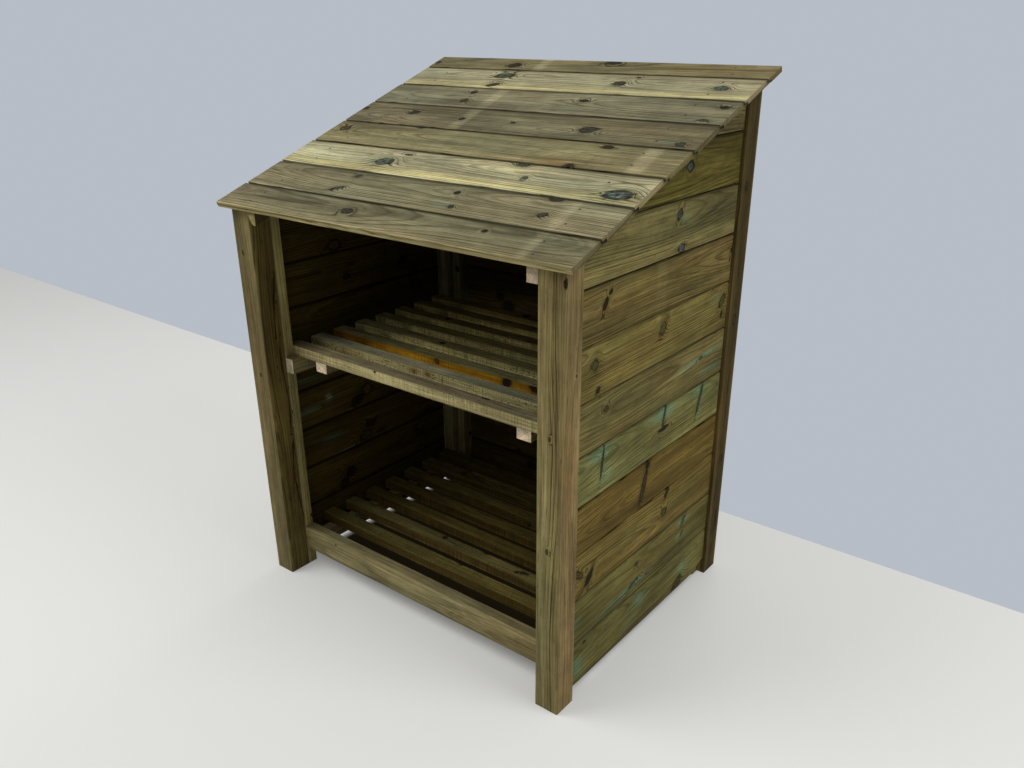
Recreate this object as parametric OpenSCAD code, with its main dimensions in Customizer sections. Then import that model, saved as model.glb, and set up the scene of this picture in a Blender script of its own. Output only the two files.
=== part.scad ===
// Free-standing timber log store: four posts, shiplap sides, back and pent roof,
// a slatted floor behind a front rail and a slatted shelf half way up.
// Millimetres, +Z up, front towards -Y, origin under the middle of the store on the ground.

/* [Store] */
// Width over the corner posts
store_w = 930; // [780:5:1100]
// Depth over the corner posts
store_d = 730; // [620:5:860]
// Height of the roof's back edge above the ground
store_h = 1260; // [1080:5:1450]

/* [Roof] */
// Slope of the roof in degrees, falling to the front
roof_slope = 20.2; // [16:0.1:24]
// Overhang of the roof past the posts at each side
roof_side = 26; // [15:1:35]
// Overhang of the roof's front edge past the front posts
roof_front = 20; // [15:1:30]
// Overhang of the roof's back edge past the back posts
roof_back = 27; // [20:1:32]
// Width that shows of the front roof board, ripped along its lower edge
roof_first = 96; // [70:1:110]
// Width that shows of the top roof board, ripped along its upper edge
roof_last = 66; // [40:1:90]

/* [Posts] */
// Width and depth of a square corner post
post_w = 58; // [54:1:64]

/* [Shiplap boards] */
// Thickness of a board
board_t = 12; // [11:0.5:13]
// Height of the top wall board at the back posts, where the roof cuts it
board_top = 82; // [50:1:95]
// Length of the thin tongue that the next board laps
tongue_l = 12; // [9:0.5:14]
// Thickness of the tongue
tongue_t = 5.8; // [5:0.1:6.2]
// Width of the hollow cove above the board's flat face
cove_w = 14; // [10:1:18]
// How far the wall boards stand back from the faces of the posts
board_inset = 9; // [6:1:12]
// Height of the wall boards' lower edge above the ground
board_low = 24; // [18:1:30]
// Length of the wane along the lower edge of the lowest right board
wane_l = 62; // [20:1:120]
// Height of the wane at the board's back end
wane_h = 21; // [5:1:40]

/* [Battens and slats] */
// Wide side of the sawn battens and slats
batten_w = 37; // [34:1:40]
// Narrow side of the sawn battens and slats
batten_t = 25; // [21:1:27]
// Gap between the end of a slat and the side boards
slat_gap = 14; // [8:1:24]

/* [Floor] */
// Height of the floor slats' upper faces
floor_top = 115; // [112:1:122]
// Gap between the front rail and the first floor slat
floor_gap = 52; // [40:1:60]
// Height of the front rail's lower edge
rail_low = 50; // [42:1:58]
// Height of the front rail
rail_h = 64; // [56:1:72]
// Thickness of the front rail
rail_t = 30; // [24:1:34]

/* [Shelf] */
// Height of the shelf slats' upper faces
shelf_top = 619; // [560:1:680]
// Gap between the shelf's back slat and the battens behind it
shelf_gap = 7.5; // [2:0.5:20]
// Gap between a shelf bearer and the batten on the side wall
bearer_gap = 53.5; // [20:0.5:120]

/* [Hidden] */
$fn = 48;
// Seating gap where two pieces meet end to end
fit = 0.3;
// Room for a cutting block
far = 3000;
wall_boards = 11;
roof_boards = 8;
floor_slat_count = 7;
shelf_slat_count = 8;
// Arris taken off a board's lower edge, and off the long edges of posts and rail
ease = 1.5;
// Radius of the cove, tangent to the tongue
cove_h = board_t - tongue_t;
cove_r = (cove_w * cove_w + cove_h * cove_h) / (2 * cove_h);
// Slope figures
roof_sin = sin(roof_slope);
roof_cos = cos(roof_slope);
roof_tan = tan(roof_slope);
roof_l = (store_d + roof_front + roof_back) / roof_cos;
roof_w = store_w + 2 * roof_side;
// Depth of the whole store, with the roof boards' lower back arris
whole_d = roof_l * roof_cos + board_t * roof_sin;
// Front faces of the front posts and back faces of the back posts
front_y = roof_front - whole_d / 2;
back_y = front_y + store_d;
roof_y = front_y - roof_front;
roof_z = store_h - roof_l * roof_sin;
// Inner faces of posts, wall boards and wall battens
post_in = store_w / 2 - post_w;
side_in = store_w / 2 - board_inset - board_t;
back_in = back_y - board_inset - board_t;
side_batten_w = side_in - post_in;
// Clear run between the front and back posts
bay_front = front_y + post_w;
bay_back = back_y - post_w;
// Width of a board that shows once the next one laps it, on the roof and on the walls
roof_cover = (roof_l - roof_first - roof_last) / (roof_boards - 2);
wall_top = roof_z + (roof_front + store_d - post_w) * roof_tan - board_t / roof_cos;
wall_cover = (wall_top - board_low - board_top) / (wall_boards - 1);
// Strips ripped off the front roof board with its lip, and off the top one with its tongue
roof_rip = 15;
roof_trim = 45;
// Slats: length, first place and spacing on the floor and on the shelf
slat_l = 2 * (side_in - slat_gap);
floor_back = 5;
floor_first = bay_front + rail_t + floor_gap;
floor_pitch = (bay_back - batten_t - floor_back - batten_w - floor_first) / (floor_slat_count - 1);
shelf_front = 1.5;
shelf_first = bay_front + batten_t + shelf_front;
shelf_pitch = (bay_back - batten_t - shelf_gap - batten_w - shelf_first) / (shelf_slat_count - 1);
// Bearers: place across the store, and how far their ends stand back under the slats
bearer_x = post_in - batten_t - bearer_gap - batten_w / 2;
bearer_set = 1;
// How far the shelf battens' front ends reach past the upright battens
batten_proud = 1;

// Distance along the slope from the roof's front edge to a roof board's lower edge
function roof_start(i) = i == 0 ? 0 : roof_first + (i - 1) * roof_cover;

// Width that a roof board showed before it was ripped
function roof_full(i) =
    i == 0 ? roof_first + roof_rip :
    i == roof_boards - 1 ? roof_last + roof_trim :
    roof_cover;

// Height above the ground of a wall board's lower edge
function wall_start(i) = board_low + i * wall_cover;

// Everything above a plane that lies the given distance square below the roof boards' backs
module above(drop) {
    translate([0, roof_y, roof_z])
        rotate([roof_slope, 0, 0])
            translate([-far / 2, -far / 2, -board_t - drop])
                cube([far, far, far]);
}

// Section of a shiplap board, lower edge at x 0, outer face at y board_t
module shiplap_outline(cover) {
    polygon([
        [0, tongue_t + fit],
        [0, board_t - ease],
        [ease, board_t],
        [cover, board_t],
        [cover, tongue_t],
        [cover + tongue_l, tongue_t],
        [cover + tongue_l, 0],
        [tongue_l + fit, 0],
        [tongue_l + fit, tongue_t + fit]
    ]);
}

// Shiplap board along +X, lower edge at y 0, outer face at z board_t, cove above the flat face
module shiplap(length, cover) {
    rotate([90, 0, 90])
        difference() {
            linear_extrude(length)
                shiplap_outline(cover);
            translate([cover, tongue_t + cove_r, -1])
                cylinder(r = cove_r, h = length + 2, $fn = 96);
        }
}

// Planed section with its four arrises eased, from the origin towards +X and +Y
module eased_outline(w, d) {
    polygon([
        [ease, 0], [w - ease, 0], [w, ease], [w, d - ease],
        [w - ease, d], [ease, d], [0, d - ease], [0, ease]
    ]);
}

// Corner post, its top cut to the roof
module post(x, y) {
    color("tan")
        difference() {
            translate([x, y, 0])
                linear_extrude(store_h)
                    eased_outline(post_w, post_w);
            above(fit);
        }
}

// Rafter on the inner faces of the posts, cut plumb at both ends
module rafter(x) {
    color("wheat")
        intersection() {
            translate([0, roof_y, roof_z])
                rotate([roof_slope, 0, 0])
                    translate([x, 0, -board_t - batten_w])
                        cube([batten_t, roof_l, batten_w]);
            translate([x, front_y, 0])
                cube([batten_t, back_in - fit - front_y, store_h]);
        }
}

// Roof board: the front one is ripped along its lower edge and the top one along its upper edge
module roof_board(i) {
    rip = i == 0 ? roof_rip : 0;
    color(i % 2 == 0 ? "burlywood" : "tan")
        translate([0, roof_y, roof_z])
            rotate([roof_slope, 0, 0])
                intersection() {
                    translate([-roof_w / 2, roof_start(i) - rip, -board_t])
                        shiplap(roof_w, roof_full(i));
                    translate([-far / 2, 0, -far / 2])
                        cube([far, roof_l, far]);
                }
}

// Wall board standing on edge along +X with its outer face towards -Y
module wall_board(i, length) {
    translate([0, 0, wall_start(i)])
        rotate([90, 0, 0])
            shiplap(length, wall_cover);
}

// Wedge that is missing from a side board where its lower edge ran out at the side of the log
module wane() {
    translate([side_in - 1, bay_back - fit, board_low])
        rotate([90, 0, 90])
            linear_extrude(board_t + 2)
                polygon([[-wane_l, 0], [1, wane_h * (wane_l + 1) / wane_l], [1, -1], [-wane_l, -1]]);
}

// Side board butted between a front and a back post and cut to the roof
module side_board(i, side) {
    run = bay_back - bay_front - 2 * fit;
    color(i % 2 == 0 ? "burlywood" : "tan")
        difference() {
            translate([side * side_in, side > 0 ? bay_front + fit : bay_back - fit, 0])
                rotate([0, 0, side * 90])
                    wall_board(i, run);
            above(fit);
            if (i == 0 && side > 0) wane();
        }
}

// Back boards butted between the back posts
module back_boards() {
    run = 2 * post_in - 2 * fit;
    color("burlywood")
        difference() {
            for (i = [0 : wall_boards - 1])
                translate([run / 2, back_in, 0])
                    rotate([0, 0, 180])
                        wall_board(i, run);
            above(fit);
        }
}

// Upright battens behind the ends of the side boards
module side_wall_battens() {
    color("peru")
        difference() {
            for (side = [-1, 1], y = [bay_front, bay_back - batten_t])
                translate([side > 0 ? post_in : -side_in, y, 0])
                    cube([side_batten_w, batten_t, store_h]);
            above(fit);
        }
}

// Upright battens behind the ends of the back boards, stopping under the rafters
module back_wall_battens() {
    color("peru")
        difference() {
            for (x = [-post_in, post_in - batten_t])
                translate([x, bay_back, 0])
                    cube([batten_t, back_in - bay_back, store_h]);
            above(batten_w + fit);
        }
}

// Rail across the front of the floor, between the posts
module front_rail() {
    color("wheat")
        translate([-post_in + fit, bay_front, rail_low])
            rotate([90, 0, 90])
                linear_extrude(2 * (post_in - fit))
                    eased_outline(rail_t, rail_h);
}

// Battens along the side walls, on edge, with their upper faces at the given height
module wall_battens(y, top) {
    for (x = [-post_in, post_in - batten_t])
        translate([x, y, top - batten_w])
            cube([batten_t, bay_back - fit - y, batten_w]);
}

module floor_battens() {
    color("peru")
        wall_battens(bay_front + rail_t + fit, floor_top - batten_t);
}

module shelf_battens() {
    color("peru")
        wall_battens(bay_front - batten_proud, shelf_top - batten_t);
}

// Flat slats across the store, spaced from front to back
module slats(count, y, pitch, top) {
    for (i = [0 : count - 1])
        translate([-slat_l / 2, y + i * pitch, top - batten_t])
            cube([slat_l, batten_w, batten_t]);
}

module floor_slats() {
    color("burlywood")
        slats(floor_slat_count, floor_first, floor_pitch, floor_top);
}

module shelf_slats() {
    color("burlywood")
        slats(shelf_slat_count, shelf_first, shelf_pitch, shelf_top);
}

// Bearers under the shelf slats, from front to back
module shelf_bearers() {
    run = (shelf_slat_count - 1) * shelf_pitch + batten_w;
    color("wheat")
        for (x = [-bearer_x, bearer_x])
            translate([x - batten_w / 2, shelf_first + bearer_set, shelf_top - 2 * batten_t])
                cube([batten_w, run - 2 * bearer_set, batten_t]);
}

post(-store_w / 2, front_y);  // front_left_post
post(post_in, front_y);  // front_right_post
post(-store_w / 2, bay_back);  // back_left_post
post(post_in, bay_back);  // back_right_post
rafter(-post_in);  // left_rafter
rafter(post_in - batten_t);  // right_rafter
roof_board(0);  // roof_board_1
roof_board(1);  // roof_board_2
roof_board(2);  // roof_board_3
roof_board(3);  // roof_board_4
roof_board(4);  // roof_board_5
roof_board(5);  // roof_board_6
roof_board(6);  // roof_board_7
roof_board(roof_boards - 1);  // roof_board_8
side_board(0, 1);  // right_board_01
side_board(1, 1);  // right_board_02
side_board(2, 1);  // right_board_03
side_board(3, 1);  // right_board_04
side_board(4, 1);  // right_board_05
side_board(5, 1);  // right_board_06
side_board(6, 1);  // right_board_07
side_board(7, 1);  // right_board_08
side_board(8, 1);  // right_board_09
side_board(9, 1);  // right_board_10
side_board(wall_boards - 1, 1);  // right_board_11
side_board(0, -1);  // left_board_01
side_board(1, -1);  // left_board_02
side_board(2, -1);  // left_board_03
side_board(3, -1);  // left_board_04
side_board(4, -1);  // left_board_05
side_board(5, -1);  // left_board_06
side_board(6, -1);  // left_board_07
side_board(7, -1);  // left_board_08
side_board(8, -1);  // left_board_09
side_board(9, -1);  // left_board_10
side_board(wall_boards - 1, -1);  // left_board_11
back_boards();
side_wall_battens();
back_wall_battens();
front_rail();
floor_battens();
floor_slats();
shelf_battens();
shelf_bearers();
shelf_slats();
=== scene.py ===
import bpy
import numpy as np
from mathutils import Matrix, Vector


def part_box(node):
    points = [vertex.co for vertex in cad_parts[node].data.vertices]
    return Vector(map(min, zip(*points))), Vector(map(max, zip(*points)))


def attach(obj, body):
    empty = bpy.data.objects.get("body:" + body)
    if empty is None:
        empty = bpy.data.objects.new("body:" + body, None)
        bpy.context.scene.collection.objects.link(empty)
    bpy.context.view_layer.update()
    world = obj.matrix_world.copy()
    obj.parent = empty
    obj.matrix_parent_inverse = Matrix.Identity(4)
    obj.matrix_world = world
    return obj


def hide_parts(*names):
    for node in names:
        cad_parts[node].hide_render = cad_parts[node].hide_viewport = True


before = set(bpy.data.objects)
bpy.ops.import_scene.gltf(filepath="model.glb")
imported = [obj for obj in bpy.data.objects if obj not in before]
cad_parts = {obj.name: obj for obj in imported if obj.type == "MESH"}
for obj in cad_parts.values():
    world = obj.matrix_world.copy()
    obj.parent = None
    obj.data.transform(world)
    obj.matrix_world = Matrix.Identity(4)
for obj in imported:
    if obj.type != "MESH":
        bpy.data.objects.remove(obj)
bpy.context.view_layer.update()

# Corner posts: four lengths of planed treated pine, 58 mm square, standing on the ground.
# Their tops are sawn to the slope of the roof, and the boards and battens are nailed between them.
mm = 0.001
slope = np.radians(20.2)
thick = 12 * mm
gap = 0.3 * mm


def corners(node):
    """Lower and upper corner of a node's box."""
    return [np.array(corner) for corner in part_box(node)]


roof_low, roof_high = corners("roof_board_1")
roof_y = roof_low[1]
roof_z = roof_low[2] + thick * np.cos(slope)


def under_roof(y, drop=thick + gap):
    """Height of the plane that lies square below the roof's upper face by the drop."""
    return roof_z + (y - roof_y) * np.tan(slope) - drop / np.cos(slope)


def shade(r, g, b):
    """A colour from its 0 to 255 screen values, as linear light."""
    c = np.array([r, g, b]) / 255
    return np.where(c < 0.04045, c / 12.92, ((c + 0.055) / 1.055) ** 2.4)


def stations(length, step):
    """Distances along a timber about a step apart, with a close pair at each end for a crisp edge."""
    inner = np.linspace(0, length, int(round(length / step)) + 1)[1:-1]
    lip = min(0.6 * mm, length / 50)
    return np.concatenate([[0, lip], inner, [length - lip, length]])


def squared(width, depth, ease, step):
    """Section of a squared timber, walked round from its front face: front, far side, back, near side.
    Each arris is a quarter circle of radius ease. Gives u, v and the distance walked."""
    turn = np.linspace(0, np.pi / 2, 4)[1:-1]
    wide = np.linspace(ease, width - ease, max(2, int(width / step)) + 1)
    deep = np.linspace(depth - ease, ease, max(2, int(depth / step)) + 1)
    out, back = ease * np.sin(turn), ease * np.cos(turn)
    u = np.concatenate([wide, width - ease + out, width + 0 * deep, width - ease + back,
                        wide[::-1], ease - out, 0 * deep, ease - back])
    v = np.concatenate([depth + 0 * wide, depth - ease + back, deep, ease - out,
                        0 * wide, ease - back, deep[::-1], depth - ease + out])
    step_len = np.hypot(np.diff(u), np.diff(v))
    walked = ease + np.concatenate([[0], np.cumsum(step_len)])
    return u, v, walked


def offset(s, c, at_s, at_c, half_s, half_c, lean):
    """Where points lie from the middle of a leaning ellipse, in its half axes."""
    ds, dc, turn = s - at_s * mm, c - at_c * mm, np.radians(lean)
    return ((ds * np.cos(turn) + dc * np.sin(turn)) / (half_s * mm),
            (dc * np.cos(turn) - ds * np.sin(turn)) / (half_c * mm))


def figure(s, c, u, v, heart, knots, seed):
    """Grain at the points of one timber. Growth rings are cylinders round a pith line that wanders:
    ring number = distance from the pith line / ring width. Each knot is an ellipse (s, c, half length, half
    width, lean, kind, and a weight if it isn't 1), and a point keeps its offset from the nearest knot in half
    axes, the knot's kind and a weight that fades outwards. The bow of a knot is how many rings its half width
    displaces: the slope of ring number across the timber there, by weighted least squares, times the half
    width. Edge-on is how squarely the rings meet the face."""
    pith_u, pith_v, ring, drift = heart
    wander = np.random.default_rng(seed).uniform(0, 2 * np.pi, 3)
    pu = pith_u + 4 * mm * np.sin(2 * np.pi * s / 0.83 + wander[0])
    pv = pith_v + drift * s + 3 * mm * np.sin(2 * np.pi * s / 0.57 + wander[1])
    rings = np.hypot(u - pu, v - pv) / ring
    grain = np.stack([rings, s + 1.3 * seed, c + 0.37 * seed], 1)
    channels, bows = [], []
    for group in (knots[0::2], knots[1::2]):
        nearest = np.full(len(s), 1e9)
        channel = np.zeros((len(s), 4))
        channel[:, 0] = 9
        bow = np.zeros(len(s))
        for ks, kc, half_s, half_c, lean, kind, *rest in group:
            weight = rest[0] if rest else 1
            x, y = offset(s, c, ks, kc, half_s, half_c, lean)
            q = np.hypot(x, y)
            reach = max(3.8, 19 / min(half_s, half_c))
            fade = np.clip((reach - q) / (0.6 * reach), 0, 1)
            value = np.stack([x, y, np.full_like(x, kind), weight * fade * fade * (3 - 2 * fade)], 1)
            w = np.exp(-np.minimum(((s - ks * mm) / (20 * mm)) ** 2 + ((c - kc * mm) / (9 * mm)) ** 2, 50))
            lean_c = c - (w * c).sum() / w.sum()
            rate = (w * lean_c * rings).sum() / (w * lean_c ** 2).sum()
            bow = np.where(q < nearest, np.clip(rate * half_c * mm, -4, 4), bow)
            channel = np.where((q < nearest)[:, None], value, channel)
            nearest = np.minimum(nearest, q)
        channels.append(channel)
        bows.append(bow)
    edge_on = np.abs(u - pu) / np.maximum(np.hypot(u - pu, v - pv), 1 * mm)
    return grain, channels, bows, edge_on


def tint(s, c, base, marks, seed):
    """Colour at the points of one timber: a base that drifts slowly, then each mark in turn,
    a patch of weight power * exp(-|x|^edge - |y|^edge) of another colour, soft at the usual edge of 2,
    squarer above."""
    phase = np.random.default_rng(seed + 500).uniform(0, 1, 3)
    slow = 1 + 0.05 * np.sin(2 * np.pi * (s / 0.9 + phase[0]))
    slow = slow + 0.05 * np.sin(2 * np.pi * (s / 0.37 + c / 0.19 + phase[1]))
    slow = slow + 0.03 * np.sin(2 * np.pi * (s / 0.21 - c / 0.13 + phase[2]))
    colour = np.asarray(base) * slow[:, None]
    for ms, mc, half_s, half_c, lean, stain, power, *rest in marks:
        edge = rest[0] if rest else 2
        x, y = np.abs(offset(s, c, ms, mc, half_s, half_c, lean))
        w = (power * np.exp(-np.minimum(x, 9) ** edge - np.minimum(y, 9) ** edge))[:, None]
        colour = colour * (1 - w) + np.asarray(stain) * w
    return colour


def stick(s, u, v, c, place, heart, base, seed, knots=(), marks=(), ends=None, rungs=False, painted_shade=1.0, mould=0.1,
          bold=1.0):
    """One timber as a section (u, v) carried along s: point = origin + s * along + u * across + v * out.
    Its ends are closed by a fan from the middle, or by rungs between the front and back of the section.
    Painted shade multiplies the colour; mould, kept beside the colour, is how much of it is specked, and bold is
    how strongly the growth rings show, which is faint on sawn ends."""
    s, u, v, c, painted_shade, mould, bold = np.broadcast_arrays(s, u, v, c, painted_shade, mould, bold)
    n, m = s.shape
    ids = np.arange(n * m).reshape(n, m)
    beside = np.roll(ids, -1, 1)
    faces = np.stack([ids[:-1], beside[:-1], beside[1:], ids[1:]], 2).reshape(-1, 4).tolist()
    parts = (s, u, v, c, painted_shade, mould, bold)
    flat = [a.ravel() for a in parts]
    is_end = np.zeros((n, m), bool)
    is_end[[0, -1]] = True
    is_end = is_end.ravel()
    if rungs:
        j = np.arange(m // 2 - 1)
        faces += np.stack([ids[0, j + 1], ids[0, j], ids[0, m - 1 - j], ids[0, m - 2 - j]], 1).tolist()
        faces += np.stack([ids[-1, j], ids[-1, j + 1], ids[-1, m - 2 - j], ids[-1, m - 1 - j]], 1).tolist()
    else:
        faces += np.stack([beside[0], ids[0], np.full(m, n * m)], 1).tolist()
        faces += np.stack([ids[-1], beside[-1], np.full(m, n * m + 1)], 1).tolist()
        flat = [np.concatenate([f, [a[0].mean(), a[-1].mean()]]) for f, a in zip(flat, parts)]
        is_end = np.concatenate([is_end, [True, True]])
    origin, along, across, out = (np.array(a, float) for a in place)
    fs, fu, fv, fc, fpainted_shade, fmould, fbold = flat
    points = origin + fs[:, None] * along + fu[:, None] * across + fv[:, None] * out
    grain, channels, bows, edge_on = figure(fs, fc, fu, fv, heart, list(knots), seed)
    fbold = fbold * (0.4 + 0.6 * edge_on) if rungs else fbold
    colour = tint(fs, fc, base, marks, seed)
    colour[is_end] = np.asarray(base) * 0.8 if ends is None else ends
    colour = np.concatenate([colour * fpainted_shade[:, None], fmould[:, None]], 1)
    if np.dot(np.cross(along, across), out) > 0:
        faces = [f[::-1] for f in faces]
    return {"points": points, "faces": faces, "grain": grain, "knot_a": channels[0], "knot_b": channels[1],
            "stain": colour, "flow": np.stack([*bows, np.where(is_end, 0.15, fbold)], 1)}


def link(name, data):
    """Puts a new object with its data into the scene, at the origin."""
    piece = bpy.data.objects.new(name, data)
    bpy.context.scene.collection.objects.link(piece)
    return piece


def build(name, sticks, material, slot, *nodes):
    """Joins sticks into one piece with its grain, knot and colour attributes, in the place of its nodes."""
    starts = np.cumsum([0] + [len(t["points"]) for t in sticks])
    faces = [[i + a for i in f] for t, a in zip(sticks, starts) for f in t["faces"]]
    mesh = bpy.data.meshes.new(name)
    mesh.from_pydata(np.concatenate([t["points"] for t in sticks]).tolist(), [], faces)
    for label in ("grain", "knot_a", "knot_b", "stain", "flow"):
        values = np.concatenate([t[label] for t in sticks])
        kind, field = ("FLOAT_VECTOR", "vector") if values.shape[1] == 3 else ("FLOAT_COLOR", "color")
        mesh.attributes.new(label, kind, "POINT").data.foreach_set(field, values.ravel())
    mesh.polygons.foreach_set("use_smooth", np.ones(len(mesh.polygons), bool))
    mesh.set_sharp_from_angle(angle=np.radians(28))
    mesh.materials.append(material)
    mesh.update()
    piece = link(name, mesh)
    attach(piece, "root")
    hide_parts(*nodes)
    return piece


def add(tree, kind, feeds=(), **settings):
    """Adds a shader node, sets its options and feeds its inputs with sockets or plain values."""
    made = tree.nodes.new(kind)
    for name, value in settings.items():
        setattr(made, name, value)
    for name, value in dict(feeds).items():
        if isinstance(value, bpy.types.NodeSocket):
            tree.links.new(value, made.inputs[name])
        else:
            made.inputs[name].default_value = value
    return made


def maths(tree, op, *values):
    """Adds one step of arithmetic to a shader."""
    return add(tree, "ShaderNodeMath", enumerate(values), operation=op).outputs[0]


def ramped(tree, value, low, high, at_low=0.0, at_high=1.0):
    """Adds a smooth step to a shader: at_low below low, at_high above high."""
    feeds = {0: value, 1: low, 2: high, 3: at_low, 4: at_high}
    return add(tree, "ShaderNodeMapRange", feeds, interpolation_type="SMOOTHSTEP").outputs[0]


def shades(tree, value, first, last, *between):
    """Adds a colour that runs from first at value 0 to last at 1, by way of any (value, colour) between."""
    made = add(tree, "ShaderNodeValToRGB", {0: value})
    stops = made.color_ramp.elements
    stops[0].color, stops[1].color = first, last
    for at, colour in between:
        stops.new(at).color = colour
    return made.outputs[0]


def pine(name, ring_shade, saw_marks, rough):
    """Treated pine. Latewood lines come from the fraction of the ring number, bent round the knots like a
    stream round stones; fibres, flecks and blotches from noise drawn out along the grain; each knot has a
    ragged outline, rings and checks of its own; sawn faces add marks across the grain."""
    material = bpy.data.materials.new(name)
    material.use_nodes = True
    tree = material.node_tree
    tree.nodes.clear()

    def calc(op, *values):
        return maths(tree, op, *values)

    def times(value, *factors):
        for factor in factors:
            value = calc("MULTIPLY", value, factor)
        return value

    def scaled(value, by, plus):
        return calc("MULTIPLY_ADD", value, by, plus)

    def ramp(*values):
        return ramped(tree, *values)

    def mix(amount, a, b, way="MIX"):
        feeds = {0: amount, 6: a, 7: b}
        return add(tree, "ShaderNodeMix", feeds, data_type="RGBA", blend_type=way).outputs[2]

    def split(vector):
        return add(tree, "ShaderNodeSeparateXYZ", {0: vector}).outputs

    def joined(x, y):
        return add(tree, "ShaderNodeCombineXYZ", {0: x, 1: y}).outputs[0]

    def vector(op, *values):
        made = add(tree, "ShaderNodeVectorMath", enumerate(values), operation=op)
        return made.outputs["Value" if op in ("LENGTH", "DOT_PRODUCT") else "Vector"]

    def attribute(label):
        return add(tree, "ShaderNodeAttribute", attribute_name=label).outputs

    def cloud(where, detail=2.0):
        return add(tree, "ShaderNodeTexNoise", {"Vector": where, "Scale": 1.0, "Detail": detail}).outputs

    rings, s, c = split(attribute("grain")["Vector"])
    bow_a, bow_b, bold = split(attribute("flow")["Vector"])
    plane = joined(s, c)

    def noise(along, across, detail=2.0):
        return cloud(vector("MULTIPLY", plane, (along, across, 1.0)), detail)[0]

    found = []
    near = 0.0
    bent = scaled(noise(2.2, 20), 1.4, rings)
    bent = scaled(noise(9, 75), 0.4, bent)
    for label, bow in (("knot_a", bow_a), ("knot_b", bow_b)):
        knot = attribute(label)
        x, y, kind = split(knot["Vector"])
        weight = knot["Alpha"]
        raw = joined(x, y)
        own = vector("MULTIPLY_ADD", plane, (11.0, 11.0, 0.0), vector("MULTIPLY", raw, (0.85, 0.85, 0.0)))
        jog = vector("SUBTRACT", cloud(own)[1], (0.5, 0.5, 0.5))
        flat = vector("MULTIPLY_ADD", jog, (0.3, 0.3, 0.0), raw)
        outward = vector("NORMALIZE", flat)
        x, y = split(flat)[:2]
        q = vector("LENGTH", flat)
        qq = times(q, q)
        parted = times(calc("DIVIDE", y, calc("MAXIMUM", qq, 1.0)), times(bow, -1.0))
        swirl = times(calc("POWER", 2.718, times(qq, -0.4)), 3.0)
        bent = scaled(calc("ADD", parted, swirl), weight, bent)
        core = times(ramp(q, 0.86, 1.0, 1.0, 0.0), weight)
        halo = times(ramp(q, 0.9, 1.8, 1.0, 0.0), weight)
        broken = ramp(cloud(vector("MULTIPLY_ADD", own, (1.3, 1.3, 1.3), (5.0, 3.0, 7.0)))[0], 0.42, 0.6)
        off_rim = calc("ABSOLUTE", calc("SUBTRACT", q, 0.93))
        rim = times(ramp(off_rim, 0.03, scaled(broken, 0.32, 0.2), 1.0, 0.0), weight, scaled(broken, 0.35, 0.65))
        facing = vector("DOT_PRODUCT", outward, (0.8, -0.6, 0.0))
        rim = times(rim, calc("MAXIMUM", ramp(facing, -0.3, 0.7), ramp(kind, 0.2, 0.45, 0.78, 0.9)))
        glint = ramp(cloud(vector("MULTIPLY_ADD", own, (3.1, 3.1, 3.1), (1.0, 8.0, 2.0)))[0], 0.5, 0.64)
        glint = times(glint, core, ramp(kind, 0.88, 1.0))
        spoke = vector("MULTIPLY_ADD", outward, (2.4, 2.4, 2.4), own)
        check = times(ramp(cloud(spoke, 1.0)[0], 0.58, 0.66), ramp(q, 0.15, 0.5), core)
        check = calc("MAXIMUM", check, times(ramp(q, 0.1, 0.26, 1.0, 0.0), core))
        check = times(check, ramp(kind, 0.1, 0.4, 0.3, 1.0))
        beside, ahead = calc("ABSOLUTE", y), calc("ABSOLUTE", x)
        tail = times(ramp(beside, 0.1, 1.15, 1.0, 0.0), ramp(ahead, 0.9, 3.2, 1.0, 0.0), weight, broken)
        near = calc("ADD", near, times(ramp(q, 1.0, 3.2, 1.0, 0.0), weight))
        found.append((core, halo, rim, check, tail, kind, q, glint))

    part = calc("FRACT", bent)
    late = times(ramp(part, 0.58, 0.88), ramp(part, 0.93, 1.0, 1.0, 0.0))
    strength = add(tree, "ShaderNodeTexWhiteNoise", {"W": calc("FLOOR", bent)}, noise_dimensions="1D").outputs[0]
    lines = times(late, scaled(strength, 0.75, 0.25), times(bold, scaled(near, 1.0, 1.0)))
    lines = calc("MINIMUM", lines, 1.0)
    flowing = joined(s, bent)

    def drawn(along, per_ring, detail=2.0):
        return cloud(vector("MULTIPLY", flowing, (along, per_ring, 1.0)), detail)[0]

    fibre = noise(5, 330, 3.0)
    streak = drawn(1.7, 0.8)
    hair = times(ramp(drawn(2.2, 2.4), 0.53, 0.62), calc("MINIMUM", bold, 1.0))
    blotch = noise(3.2, 15)
    hue = noise(1.9, 9, 1.0)
    fleck = ramp(noise(34, 260), 0.62, 0.7)
    specks = times(ramp(noise(150, 240, 3.0), 0.52, 0.62), ramp(noise(14, 45, 1.0), 0.36, 0.56))
    band = noise(1.0, 34, 1.0)
    mottle = noise(24, 42)

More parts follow.
